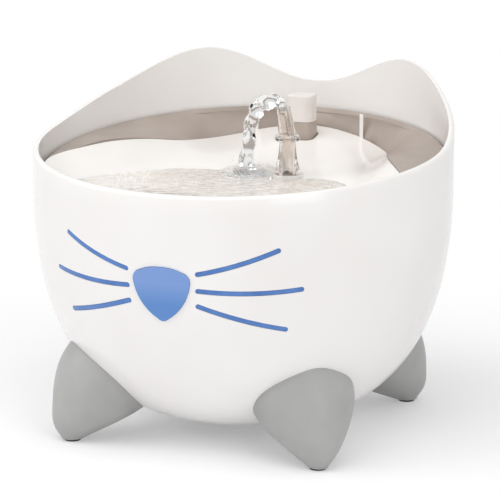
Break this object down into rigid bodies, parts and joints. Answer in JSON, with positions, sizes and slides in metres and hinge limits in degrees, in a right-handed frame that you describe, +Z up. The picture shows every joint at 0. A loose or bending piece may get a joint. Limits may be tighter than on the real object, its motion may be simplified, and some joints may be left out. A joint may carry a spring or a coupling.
{
  "type": "pet water fountain",
  "caption": "Round pot-shaped pet water fountain on short feet, with a lift-out drinking tray, a clear swivel spout, a refill cap, and a pump and filters inside.",
  "frame": {"origin": "centre of the footprint, on the floor under the foot pads", "axes": "+Z up, the face with nose and whiskers looks towards -Y, +X is on the right when looking at the face"},
  "size_m": [0.2402, 0.24, 0.2007],
  "materials": {
    "pot_plastic": "glossy moulded ABS",
    "foot_rubber": "satin soft-touch moulding",
    "pad_rubber": "matt rubber",
    "blue_plastic": "glossy translucent moulding",
    "taupe_plastic": "satin moulding",
    "dish_plastic": "glossy moulded ABS",
    "clear_plastic": "clear moulded plastic",
    "seal_rubber": "matt silicone",
    "pump_plastic": "matt moulding",
    "rotor_plastic": "matt moulding",
    "magnet_ferrite": "sintered ferrite",
    "steel": "turned stainless steel",
    "brass": "nickel-brass contact",
    "bush_ceramic": "ground ceramic",
    "board_laminate": "glass-fibre laminate",
    "lamp_epoxy": "cast epoxy",
    "foam": "open-cell foam",
    "filter_felt": "needled felt",
    "carbon": "packed carbon grains",
    "lead_jacket": "soft jacket"
  },
  "bodies": {
    "pot": {"outer_shell": "pot_plastic", "foot_front_left": "foot_rubber", "foot_front_right": "foot_rubber", "foot_rear_left": "foot_rubber", "foot_rear_right": "foot_rubber", "foot_pads": "pad_rubber", "nose_lens": "blue_plastic", "nose_gasket": "seal_rubber", "lamp_housing": "pot_plastic", "lamp_screws": "steel", "led_board": "board_laminate", "led_lights": "lamp_epoxy", "whiskers_left": "blue_plastic", "whiskers_right": "blue_plastic", "power_inlet": "pump_plastic", "inlet_pin": "brass", "inlet_seal": "seal_rubber", "inlet_nut": "pump_plastic", "inlet_cap": "seal_rubber", "pump_lead": "lead_jacket", "lamp_lead": "lead_jacket", "pump_housing": "pump_plastic", "pump_cover": "pump_plastic", "rear_bush": "bush_ceramic", "front_bush": "bush_ceramic", "impeller_shaft": "steel", "dial_washer": "bush_ceramic", "suction_cups": "seal_rubber", "riser_tube": "clear_plastic", "prefilter_cage": "pump_plastic", "foam_prefilter": "foam"},
    "tray": {"tray_deck": "taupe_plastic", "drinking_tray": "dish_plastic", "drain_strainer": "taupe_plastic", "filter_basket": "taupe_plastic", "filter_pad": "filter_felt", "carbon_filter": "carbon", "spout_seal": "seal_rubber", "spout_foot": "clear_plastic", "filler_neck": "taupe_plastic"},
    "spout": {"spout_nozzle": "clear_plastic"},
    "cap": {"refill_cap": "dish_plastic", "cap_seal": "seal_rubber"},
    "rotor": {"impeller": "rotor_plastic", "impeller_magnet": "magnet_ferrite"},
    "dial": {"flow_dial": "taupe_plastic"}
  },
  "joints": [
    {"name": "tray_lift", "type": "slide", "parent": "pot", "child": "tray", "axis": [0, 0, 1], "range_m": [0, 0.1]},
    {"name": "spout_swivel", "type": "hinge", "parent": "tray", "child": "spout", "pos_m": [0.02, 0.018, 0.165], "axis": [0, 0, 1], "continuous": true},
    {"name": "cap_lift", "type": "slide", "parent": "tray", "child": "cap", "axis": [0, 0, 1], "range_m": [0, 0.03]},
    {"name": "impeller_spin", "type": "hinge", "parent": "pot", "child": "rotor", "pos_m": [0.008, 0.022, 0.034], "axis": [0, 1, 0], "continuous": true},
    {"name": "dial_turn", "type": "hinge", "parent": "pot", "child": "dial", "pos_m": [0.008, 0.007, 0.034], "axis": [0, 1, 0], "range_deg": [0, 36]}
  ]
}
